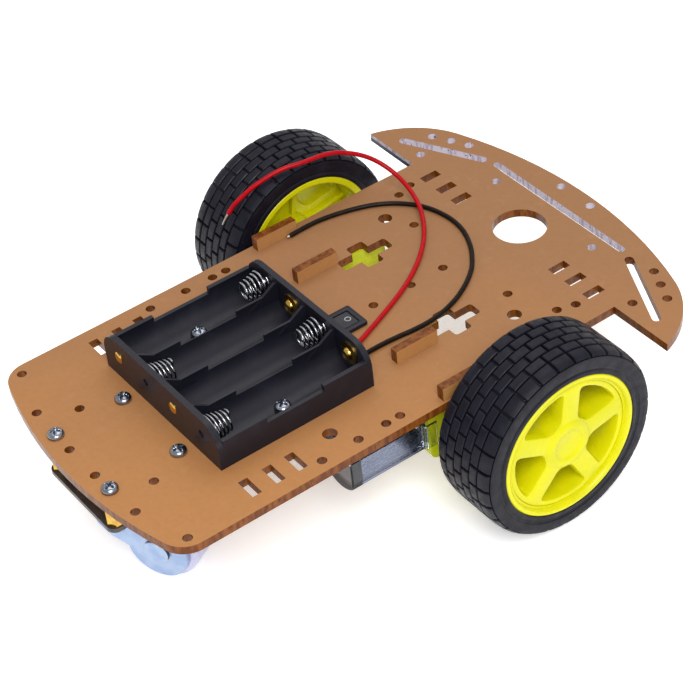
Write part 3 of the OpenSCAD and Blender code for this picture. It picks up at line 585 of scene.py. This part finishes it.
def make_wire(name, route, slot, strip):
    """An insulated wire whose last stretch is stripped to twisted, tinned strands."""
    path = smooth_path(route)
    length = path_length(path)
    strip_from = length - strip

    def radius_at(distance, angle):
        if distance <= strip_from:
            return WIRE_R
        twist = 2.4 * (distance - strip_from)
        taper = 1 - 0.25 * (distance - strip_from) / strip
        return (STRAND_R + 0.07 * math.cos(6 * (angle - twist / 2))) * taper

    bm = bmesh.new()
    rings = sweep(bm, path, radius_at, 24)
    travelled = [0.0]
    for a, b in zip(path, path[1:]):
        travelled.append(travelled[-1] + (b - a).length)
    bare_rings = [ring for ring, distance in zip(rings, travelled) if distance > strip_from]
    stripped = {v for ring in bare_rings for v in ring}
    for face in bm.faces:
        if all(v in stripped for v in face.verts):
            face.material_index = 1
    node = name.replace("supply_", "") + "_wire"
    piece = new_piece(name, bm, "chassis", slot, (node,), sharp_deg=50)
    piece.data.materials.append(MATERIALS["tinned_strands"])
    return piece


# ---- drive wheels ----

AXLE_X = sum(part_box("left_tyre")[k].x for k in (0, 1)) / 2 / MM
AXLE_Z = sum(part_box("left_tyre")[k].z for k in (0, 1)) / 2 / MM
TYRE_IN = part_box("left_tyre")[0].y / MM
TYRE_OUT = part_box("left_tyre")[1].y / MM
TYRE_MID = (TYRE_IN + TYRE_OUT) / 2
TYRE_HALF = (TYRE_OUT - TYRE_IN) / 2
TYRE_R = (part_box("left_tyre")[1].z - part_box("left_tyre")[0].z) / 2 / MM
DECK_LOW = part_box("chassis_plate")[0].z / MM
DECK_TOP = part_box("chassis_plate")[1].z / MM

TREAD_DEPTH = 1.15
BLOCKS_ROUND = 30
FLAT_HALF = 8.5
SHOULDER_R = 1.8
SHOULDER_DROP = 0.4
SEAT_R = 24.2
LIP_R = 25.3
LIP_W = 1.2


def tyre_contour():
    """Half of the tread's cross-section, as (offset from the middle, radius), from the middle outwards."""
    center = (TYRE_HALF - SHOULDER_R, TYRE_R - SHOULDER_R - SHOULDER_DROP)
    points = [(0, TYRE_R), (FLAT_HALF * 0.5, TYRE_R), (FLAT_HALF, TYRE_R - 0.05)]
    return points + arc_points(center, SHOULDER_R, 70, 0, 8)


def contour_at(distance):
    """Point and outward normal on the tread's cross-section at a signed distance from the middle."""
    points = tyre_contour()
    left = abs(distance)
    sign = -1 if distance < 0 else 1
    for a, b in zip(points, points[1:]):
        step = math.dist(a, b)
        if left <= step or b == points[-1]:
            part = left / step
            spot = (a[0] + (b[0] - a[0]) * part, a[1] + (b[1] - a[1]) * part)
            slope = ((b[0] - a[0]) / step, (b[1] - a[1]) / step)
            return sign * spot[0], spot[1], -sign * slope[1], slope[0]
        left -= step


def tread_block(bm, place, turn, length_deg, start, width, depth):
    """One block, closed all round, that follows the tread's contour and has chamfered top edges."""
    chamfer = 0.28
    chamfer_deg = math.degrees(chamfer / TYRE_R)

    def layer(sink, shrink):
        rows = []
        for i in range(4):
            across = start + shrink + (width - 2 * shrink) * i / 3
            offset, radius, nx, nr = contour_at(across)
            offset -= nx * sink
            radius -= nr * sink
            row = []
            for k in range(4):
                inner = length_deg - 2 * shrink * chamfer_deg / chamfer
                angle = math.radians(turn - inner / 2 + inner * k / 3)
                spot = (radius * math.cos(angle), radius * math.sin(angle), TYRE_MID + offset)
                row.append(bm.verts.new(place @ Vector(spot)))
            rows.append(row)
        return rows

    def rim_of(rows):
        return rows[0] + [r[3] for r in rows[1:3]] + rows[3][::-1] + [r[0] for r in rows[2:0:-1]]

    top, edge, foot = layer(0, chamfer), layer(chamfer, 0), layer(depth + 0.3, 0)
    for rows in (top, foot):
        for i in range(3):
            for k in range(3):
                bm.faces.new((rows[i][k], rows[i][k + 1], rows[i + 1][k + 1], rows[i + 1][k]))
    join_rings(bm, rim_of(top), rim_of(edge))
    join_rings(bm, rim_of(edge), rim_of(foot))
    inner_edge = [edge[i][k] for i in (1, 2) for k in (1, 2)]
    bmesh.ops.delete(bm, geom=inner_edge, context="VERTS")


def carcass_profile():
    """Closed section of the tyre below its blocks, as (radius, distance outwards from the centreline)."""
    tread_edge = 12.9
    half = []
    steps = 22
    for i in range(steps + 1):
        across = tread_edge * i / steps
        offset, radius, nx, nr = contour_at(across)
        half.append((radius - nr * TREAD_DEPTH, offset - nx * TREAD_DEPTH))
    for across in (tread_edge + 0.02, 13.4, 13.9, 14.25):
        offset, radius, nx, nr = contour_at(across)
        half.append((radius, offset))
    half += [
        (28.2, TYRE_HALF), (27.9, TYRE_HALF - 0.25), (27.0, TYRE_HALF - 0.35),
        (26.7, TYRE_HALF - 0.1), (26.2, TYRE_HALF), (LIP_R + 0.05, TYRE_HALF),
        (LIP_R, TYRE_HALF - LIP_W), (SEAT_R, TYRE_HALF - LIP_W),
    ]
    mirrored = [(r, -t) for r, t in reversed(half[1:])]
    return [(r, TYRE_MID + t) for r, t in mirrored + half]


def make_tyre(name, side):
    bm = bmesh.new()
    place = wheel_frame(side, AXLE_X, AXLE_Z)
    lathe(bm, carcass_profile(), place, 180, closed=True)
    pitch = 360 / BLOCKS_ROUND
    centre_rows = 4
    row_pitch = 3.7
    for row in range(centre_rows):
        start = (row - centre_rows / 2) * row_pitch + 0.25
        for i in range(BLOCKS_ROUND):
            shift = 0.5 * (row % 2)
            tread_block(bm, place, (i + shift) * pitch, pitch - 1.25, start, row_pitch - 0.5, TREAD_DEPTH)
    shoulder = 5.1
    shoulder_starts = (centre_rows / 2 * row_pitch + 0.3, -centre_rows / 2 * row_pitch - 0.3 - shoulder)
    for i in range(BLOCKS_ROUND):
        for start in shoulder_starts:
            tread_block(bm, place, (i + 0.5) * pitch, pitch - 1.5, start, shoulder, TREAD_DEPTH)
    body = name.split("_")[0] + "_wheel"
    new_piece(name, bm, body, "tyre_rubber", (name.replace("_treaded", ""),))


SPOKES = 5
SPOKE_ANGLE = 10.5
SPOKE_W = 6.8
BARREL_R = 22.3
WINDOW_IN = 9.4
WINDOW_OUT = 20.4
WEB_BACK = 68.4
WEB_FRONT = 79.5
RIM_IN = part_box("left_wheel_rim")[0].y / MM
SHAFT_R = 2.7


def window_outline(index):
    """Rounded trapezium between two spokes, anticlockwise, in the wheel's plane."""
    middle = math.radians(SPOKE_ANGLE + 360 / SPOKES * (index + 0.5))
    half = math.pi / SPOKES
    gap = SPOKE_W / 2
    corner = 1.7

    def edge_point(radius, sign):
        tilt = half - math.asin(min(1, gap / radius))
        return Vector((radius * math.cos(sign * tilt), radius * math.sin(sign * tilt)))

    path = [edge_point(WINDOW_IN, -1), edge_point(WINDOW_OUT, -1)]
    sweep_half = half - math.asin(gap / WINDOW_OUT)
    for k in range(1, 6):
        angle = -sweep_half + 2 * sweep_half * k / 6
        path.append(Vector((WINDOW_OUT * math.cos(angle), WINDOW_OUT * math.sin(angle))))
    path += [edge_point(WINDOW_OUT, 1), edge_point(WINDOW_IN, 1)]
    outline = []
    count = len(path)
    for i in range(count):
        before, here, after = (path[(i + k) % count] for k in (-1, 0, 1))
        sharp = (here - before).angle(after - here) > math.radians(30)
        if not sharp:
            outline.append(here)
            continue
        reach = min(corner, 0.4 * (here - before).length + 0.6, 0.4 * (after - here).length + 0.6)
        first = here + (before - here).normalized() * reach
        last = here + (after - here).normalized() * reach
        for k in range(5):
            t = k / 4
            outline.append(first * (1 - t) ** 2 + here * 2 * t * (1 - t) + last * t ** 2)
    turn = Matrix.Rotation(middle, 2)
    return [tuple(turn @ p) for p in outline]


def make_rim(name, side):
    bm = bmesh.new()
    place = wheel_frame(side, AXLE_X, AXLE_Z)
    lip = [
        (SEAT_R, TYRE_IN + LIP_W), (LIP_R, TYRE_IN + LIP_W),
        (LIP_R, TYRE_IN + 0.35), (LIP_R - 0.35, TYRE_IN),
        (23.3, TYRE_IN), (22.9, TYRE_IN + 0.25), (BARREL_R + 0.1, TYRE_IN + 1.6), (BARREL_R, TYRE_IN + 3),
        (BARREL_R, WEB_FRONT - 0.6), (BARREL_R + 0.15, WEB_FRONT), (BARREL_R + 0.9, TYRE_OUT - 1.3),
        (23.5, TYRE_OUT - 0.35), (23.9, TYRE_OUT), (LIP_R - 0.4, TYRE_OUT), (LIP_R, TYRE_OUT - 0.4),
        (LIP_R, TYRE_OUT - LIP_W), (SEAT_R, TYRE_OUT - LIP_W),
    ]
    lathe(bm, lip, place, 120, closed=True)
    outer = [(x, y) for x, y, _ in circle(BARREL_R + 0.2, 0, 120)]
    windows = [window_outline(i) for i in range(SPOKES)]
    plate_with_holes(bm, outer, windows, WEB_BACK, WEB_FRONT, 0.9, place)
    shaft_end = 58.6
    hub = [
        (0, WEB_FRONT + 0.1), (4.7, WEB_FRONT + 0.1), (5.1, WEB_FRONT + 0.3), (5.6, WEB_FRONT + 0.75),
        (6.4, WEB_FRONT + 0.9), (7.4, WEB_FRONT + 0.7), (8.4, WEB_FRONT + 0.2), (9.0, WEB_FRONT - 0.3),
        (9.0, WEB_FRONT - 2.2), (6.0, WEB_FRONT - 3.2), (6.0, RIM_IN),
        (SHAFT_R + 0.15, RIM_IN), (SHAFT_R + 0.15, shaft_end), (0, shaft_end),
    ]
    lathe(bm, hub, place, 64)
    rib_from = 5.5
    rib_length = BARREL_R + 0.3 - rib_from
    rib = rounded_rectangle(rib_length, 1.5, 0.3, 2)
    shift = Matrix.Translation((rib_from + rib_length / 2, 0, 0))
    for i in range(SPOKES):
        angle = math.radians(SPOKE_ANGLE + 360 / SPOKES * i)
        turned = place @ Matrix.Rotation(angle, 4, "Z")
        rounded_prism(bm, rib, WEB_BACK - 2, WEB_BACK + 1, 0.25, turned @ shift, 2)
    body = name.split("_")[0] + "_wheel"
    new_piece(name, bm, body, "rim_plastic", (body + "_rim",))


# ---- screws, springs and contacts ----

HEAD_R = 2.75
HEAD_H = 2.0


def add_screw(bm, place, length):
    """A cross-recessed pan-head screw: underside of the head at local z = 0, head towards +Z."""
    segments = 64
    recess_depth = 1.25
    thread_from = 0.4
    thread_pitch = 0.5
    rings = [0, 0.35, 0.7, 1.05, 1.4, 1.7, 2.0, 2.3, 2.5, 2.65, HEAD_R]

    def dome(radius):
        share = radius / HEAD_R
        return 0.55 + (HEAD_H - 0.55) * math.sqrt(max(0, 1 - share ** 2.6))

    def recess(radius, angle):
        x, y = radius * math.cos(angle), radius * math.sin(angle)
        wing = max(0, 1 - (min(abs(x), abs(y)) / 0.42) ** 4)
        reach = max(0, 1 - (radius / 1.75) ** 5)
        return recess_depth * wing * reach

    previous = None
    for radius in rings:
        if radius == 0:
            tip = bm.verts.new(place @ Vector((0, 0, dome(0) - recess_depth)))
            previous = [tip] * segments
            continue
        points = []
        for i in range(segments):
            angle = math.tau * i / segments
            height = dome(radius) - recess(radius, angle)
            points.append((radius * math.cos(angle), radius * math.sin(angle), height))
        ring = add_ring(bm, points, place)
        join_rings(bm, previous, ring)
        previous = ring
    foot = add_ring(bm, circle(HEAD_R, 0, segments), place)
    join_rings(bm, previous, foot)
    bm.faces.new(foot)
    shank = [(0, 0.2), (1.42, 0.2), (1.42, -thread_from)]
    height = -thread_from
    while height > -length + 0.6:
        shank += [(1.22, height - thread_pitch / 2), (1.48, height - thread_pitch)]
        height -= thread_pitch
    shank += [(1.2, -length), (0, -length)]
    lathe(bm, shank, place, 24)


def make_screws():
    bm = bmesh.new()
    low, high = (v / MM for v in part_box("caster_top_screws"))
    xs, ys = (low.x + HEAD_R, high.x - HEAD_R), (low.y + HEAD_R, high.y - HEAD_R)
    for i, (x, y) in enumerate((x, y) for x in xs for y in ys):
        place = Matrix.Translation((x, y, DECK_TOP)) @ Matrix.Rotation(math.radians(20 + 37 * i), 4, "Z")
        add_screw(bm, place, DECK_TOP - low.z)
    new_piece("caster_deck_screws", bm, "chassis", "screw_steel", ("caster_top_screws",))

    bm = bmesh.new()
    low_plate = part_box("caster_plate")[0].z / MM
    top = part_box("caster_bottom_screws")[1].z / MM
    for i, (x, y) in enumerate((x, y) for x in xs for y in ys):
        place = Matrix.Translation((x, y, low_plate)) @ Matrix.Rotation(math.pi, 4, "X")
        add_screw(bm, place @ Matrix.Rotation(math.radians(25 * i), 4, "Z"), top - low_plate)
    new_piece("caster_plate_screws", bm, "chassis", "screw_steel", ("caster_bottom_screws",))

    bm = bmesh.new()
    low, high = (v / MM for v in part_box("holder_screws"))
    for i, y in enumerate((low.y + HEAD_R, high.y - HEAD_R)):
        place = Matrix.Translation(((low.x + high.x) / 2, y, high.z - HEAD_H))
        turned = place @ Matrix.Rotation(math.radians(30 + 50 * i), 4, "Z")
        add_screw(bm, turned, high.z - HEAD_H - low.z)
    new_piece("holder_mount_screws", bm, "chassis", "screw_steel", ("holder_screws",))

    bm = bmesh.new()
    low, high = (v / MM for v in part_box("motor_bolts"))
    middle = (low.x + high.x) / 2
    head_y = high.y - HEAD_H
    inner_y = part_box("left_inner_bracket")[0].y / MM
    past_inner_bracket = 3.4
    for _, side in SIDES:
        for k, z in enumerate((low.z + HEAD_R, high.z - HEAD_R)):
            place = along((0, side, 0), (middle, side * head_y, z))
            turned = place @ Matrix.Rotation(math.radians(15 + 40 * k), 4, "Z")
            add_screw(bm, turned, head_y - inner_y + past_inner_bracket)
    new_piece("motor_screws", bm, "chassis", "screw_steel", ("motor_bolts",))


# The holder's inside: height of the cells' middle line, and the x of its two end walls.
BAY_Z = 55.9
BAY_PITCH = 15.6
REAR_WALL_X = -64.55
FRONT_WALL_X = -11.45


def bay_centres():
    """Middles of the four cell bays across the holder, from left to right."""
    low, high = (v.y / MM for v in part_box("battery_holder"))
    middle = (low + high) / 2
    return [middle + k * BAY_PITCH for k in (1.5, 0.5, -0.5, -1.5)]


def add_coil(bm, x, y, towards):
    """A conical contact spring of round wire, wide at the wall, with its free end bent inwards."""
    turns, wire = 5.2, 0.36
    wall_gap, length, wide, narrow = 0.45, 8.1, 5.0, 3.1
    steps = int(turns * 28)
    path = []
    for i in range(steps + 1):
        t = i / steps
        spread = wide + (narrow - wide) * t ** 0.8
        angle = math.tau * turns * t + (0.4 if towards > 0 else 2.2)
        out = wall_gap + (length - wall_gap) * t ** 1.08
        sideways, upwards = spread * math.cos(angle), spread * math.sin(angle)
        path.append(Vector((x + towards * out, y + sideways, BAY_Z + upwards)))
    inwards = path[-1].copy()
    inwards.y = y + (inwards.y - y) * 0.35
    inwards.z = BAY_Z + (inwards.z - BAY_Z) * 0.35
    path.append(inwards)
    sweep(bm, path, lambda distance, angle: wire, 10)
    seat = [(0, 0), (1.9, 0), (1.9, 0.35), (1.4, 0.7), (0, 0.8)]
    lathe(bm, seat, along((towards, 0, 0), (x, y, BAY_Z)), 24)


def add_button(bm, x, y, towards):
    """A brass button contact: wide flange on the wall and a domed stud, with its rivet outside."""
    stud = [
        (0, 0), (4, 0), (4, 0.3), (3.7, 0.45), (2.5, 0.5), (2.2, 0.7), (2.1, 1.1), (1.7, 1.6),
        (1.0, 1.95), (0, 2.05),
    ]
    lathe(bm, stud, along((towards, 0, 0), (x, y, BAY_Z)), 40)
    rivet = [(0, 0), (2.0, 0), (2.0, 0.12), (1.6, 0.42), (0.9, 0.58), (0, 0.6)]
    wall = 2.0
    lathe(bm, rivet, along((-towards, 0, 0), (x - towards * wall, y, BAY_Z)), 32)
    stem = [(0, 0), (1.15, 0), (1.15, wall), (0, wall)]
    lathe(bm, stem, along((-towards, 0, 0), (x, y, BAY_Z)), 24)


def make_contacts():
    bays = bay_centres()
    springs, buttons = bmesh.new(), bmesh.new()
    for i, y in enumerate(bays):
        if i % 2:
            add_coil(springs, REAR_WALL_X, y, 1)
            add_button(buttons, FRONT_WALL_X, y, -1)
        else:
            add_button(buttons, REAR_WALL_X, y, 1)
            add_coil(springs, FRONT_WALL_X, y, -1)
    new_piece("contact_coils", springs, "chassis", "spring_steel", ("battery_springs",), sharp_deg=60)
    new_piece("contact_buttons", buttons, "chassis", "brass", ("battery_contacts",), sharp_deg=40)


# ---- switch ----


def make_switch():
    low, high = (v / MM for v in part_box("switch_body"))
    middle = Vector(((low.x + high.x) / 2, (low.y + high.y) / 2, 0))
    well_x, well_y = 10.9, 7.0
    bm = bmesh.new()
    place = Matrix.Translation(middle)
    bezel = rounded_rectangle(high.x - low.x, high.y - low.y, 0.8)
    bezel_well = rounded_rectangle(well_x, well_y, 0.5)
    plate_with_holes(bm, bezel, [bezel_well], DECK_TOP, high.z, 0.4, place)
    body = rounded_rectangle(13, 8.8, 0.5)
    body_well = rounded_rectangle(well_x, well_y, 0.4)
    plate_with_holes(bm, body, [body_well], DECK_LOW - 2, DECK_TOP, 0.1, place)
    rounded_prism(bm, body, low.z, DECK_LOW - 1.95, 0.4, place)
    new_piece("switch_housing", bm, "chassis", "black_plastic", ("switch_body",))

    # The ring and the bar lie on the two halves of the rocker's bent top.
    marks = bmesh.new()
    pivot = Matrix.Translation((middle.x, middle.y, DECK_TOP - 0.6))
    tilted = pivot @ Matrix.Rotation(math.radians(9), 4, "Y")
    off_side = tilted @ Matrix.Translation((3.05, 0, 2.3)) @ Matrix.Rotation(math.radians(-8), 4, "Y")
    ring = [(0.78, -0.1), (1.12, -0.1), (1.12, 0.05), (0.78, 0.05)]
    lathe(marks, ring, off_side, 32, closed=True)
    on_side = tilted @ Matrix.Translation((-3.05, 0, 2.3)) @ Matrix.Rotation(math.radians(8), 4, "Y")
    rounded_prism(marks, rounded_rectangle(0.35, 2.0, 0.12), -0.1, 0.05, 0.03, on_side)
    new_piece("switch_marks", marks, "rocker", "switch_gloss", material="switch_mark")


# ---- caster ----

SWIVEL_DEG = -62
TRAIL = 12.7
AXLE_HEIGHT = 12.5
FORK_HALF = 7.5


def make_caster_rivets():
    """The caster's axle and its two flat rivet heads, whose sides carry a painted shadow in dark steel."""
    bm = bmesh.new()
    low, high = (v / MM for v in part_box("caster_plate"))
    centre = Vector(((low.x + high.x) / 2, 0, 0))
    turn = math.radians(SWIVEL_DEG)
    forward = Vector((math.cos(turn), math.sin(turn), 0))
    across = Vector((-math.sin(turn), math.cos(turn), 0))
    axle = centre + forward * TRAIL + Vector((0, 0, AXLE_HEIGHT))
    for side in (-1, 1):
        head = [(0, -0.6), (4.38, -0.6), (4.4, 1.15), (4.2, 1.35), (3.7, 1.45), (2.4, 1.5), (0, 1.55)]
        lathe(bm, head, along(across * side, axle + across * side * FORK_HALF), 48)
    reach = FORK_HALF + 0.1
    lathe(bm, [(0, -reach), (1.95, -reach), (1.95, reach), (0, reach)], along(across, axle), 32)
    bm.normal_update()
    for face in bm.faces:
        is_side = abs(face.normal.dot(across)) < 0.3
        outwards = abs((face.calc_center_median() - axle).dot(across))
        # The rivet heads' side faces take the second material: a painted shadow.
        face.material_index = int(is_side and outwards > reach)
    piece = new_piece("caster_axle_rivet", bm, "caster_swivel", "zinc_steel", ("caster_axle",))
    piece.data.materials.append(MATERIALS["painted_shadow_steel"])


# ---- CAD nodes that stay ----

FINISH_OF_NODE = {
    "left_inner_bracket": "upright_film",
    "left_outer_bracket": "upright_film",
    "right_inner_bracket": "upright_film",
    "right_outer_bracket": "upright_film",
    # The caster plate's dark finish is painted shade over its zinc steel.
    "caster_plate": "painted_shade_plate",
}


def dress_nodes():
    """Gives every CAD node the finish of its slot, or the one FINISH_OF_NODE names: the brackets' own
    film, and painted shade on the caster plate.
    """
    for part in frame["record"]["subparts"]:
        node = frame["nodes"][part["node"]]
        finish = FINISH_OF_NODE.get(part["node"], part["material_slot"])
        node.data.materials.clear()
        node.data.materials.append(MATERIALS[finish])


# ---- floor and light ----


FLOOR_GLOW = 0.38
SKY_STRENGTH = 0.62
AIM_HEIGHT = 0.03


def make_stage():
    bm = bmesh.new()
    bmesh.ops.create_grid(bm, x_segments=1, y_segments=1, size=3)
    mesh = bpy.data.meshes.new("floor")
    bm.to_mesh(mesh)
    bm.free()
    floor = bpy.data.objects.new("floor", mesh)
    bpy.context.scene.collection.objects.link(floor)
    floor.location.z = cad_low.z - 0.0002
    s = Shader("floor", (0.93, 0.93, 0.93), 0.7)
    s.feed(s.mix(s.noise(400, 2), (0.92, 0.92, 0.92), (0.94, 0.94, 0.94)), "Base Color")
    s.set("Emission Color", (1, 1, 1, 1))
    s.set("Emission Strength", FLOOR_GLOW)
    mesh.materials.append(s.material)

    world = bpy.data.worlds.new("studio")
    world.use_nodes = True
    background = world.node_tree.nodes["Background"]
    background.inputs["Color"].default_value = (1, 1, 1, 1)
    background.inputs["Strength"].default_value = SKY_STRENGTH
    bpy.context.scene.world = world
    add_softbox("key", (-0.35, -0.75, 1.0), 0.6, 13)
    add_softbox("top", (0.3, 0.4, 1.1), 0.9, 4)


def add_softbox(name, place, size, energy):
    data = bpy.data.lights.new(name, "AREA")
    data.shape = "SQUARE"
    data.size = size
    data.energy = energy
    light = bpy.data.objects.new(name, data)
    bpy.context.scene.collection.objects.link(light)
    light.location = place
    aim = Vector((0, 0, AIM_HEIGHT)) - Vector(place)
    light.rotation_euler = aim.to_track_quat("-Z", "Y").to_euler()


make_camera()
MATERIALS = make_materials()
make_wire("supply_red", RED_ROUTE, "red_insulation", 4.5)
make_wire("supply_black", BLACK_ROUTE, "black_insulation", 1.2)
dress_nodes()
for name, side in SIDES:
    make_tyre(f"{name}_treaded_tyre", side)
    make_rim(f"{name}_spoked_rim", side)
make_screws()
make_contacts()
make_switch()
make_caster_rivets()
make_stage()
bpy.context.scene.view_settings.view_transform = "Standard"
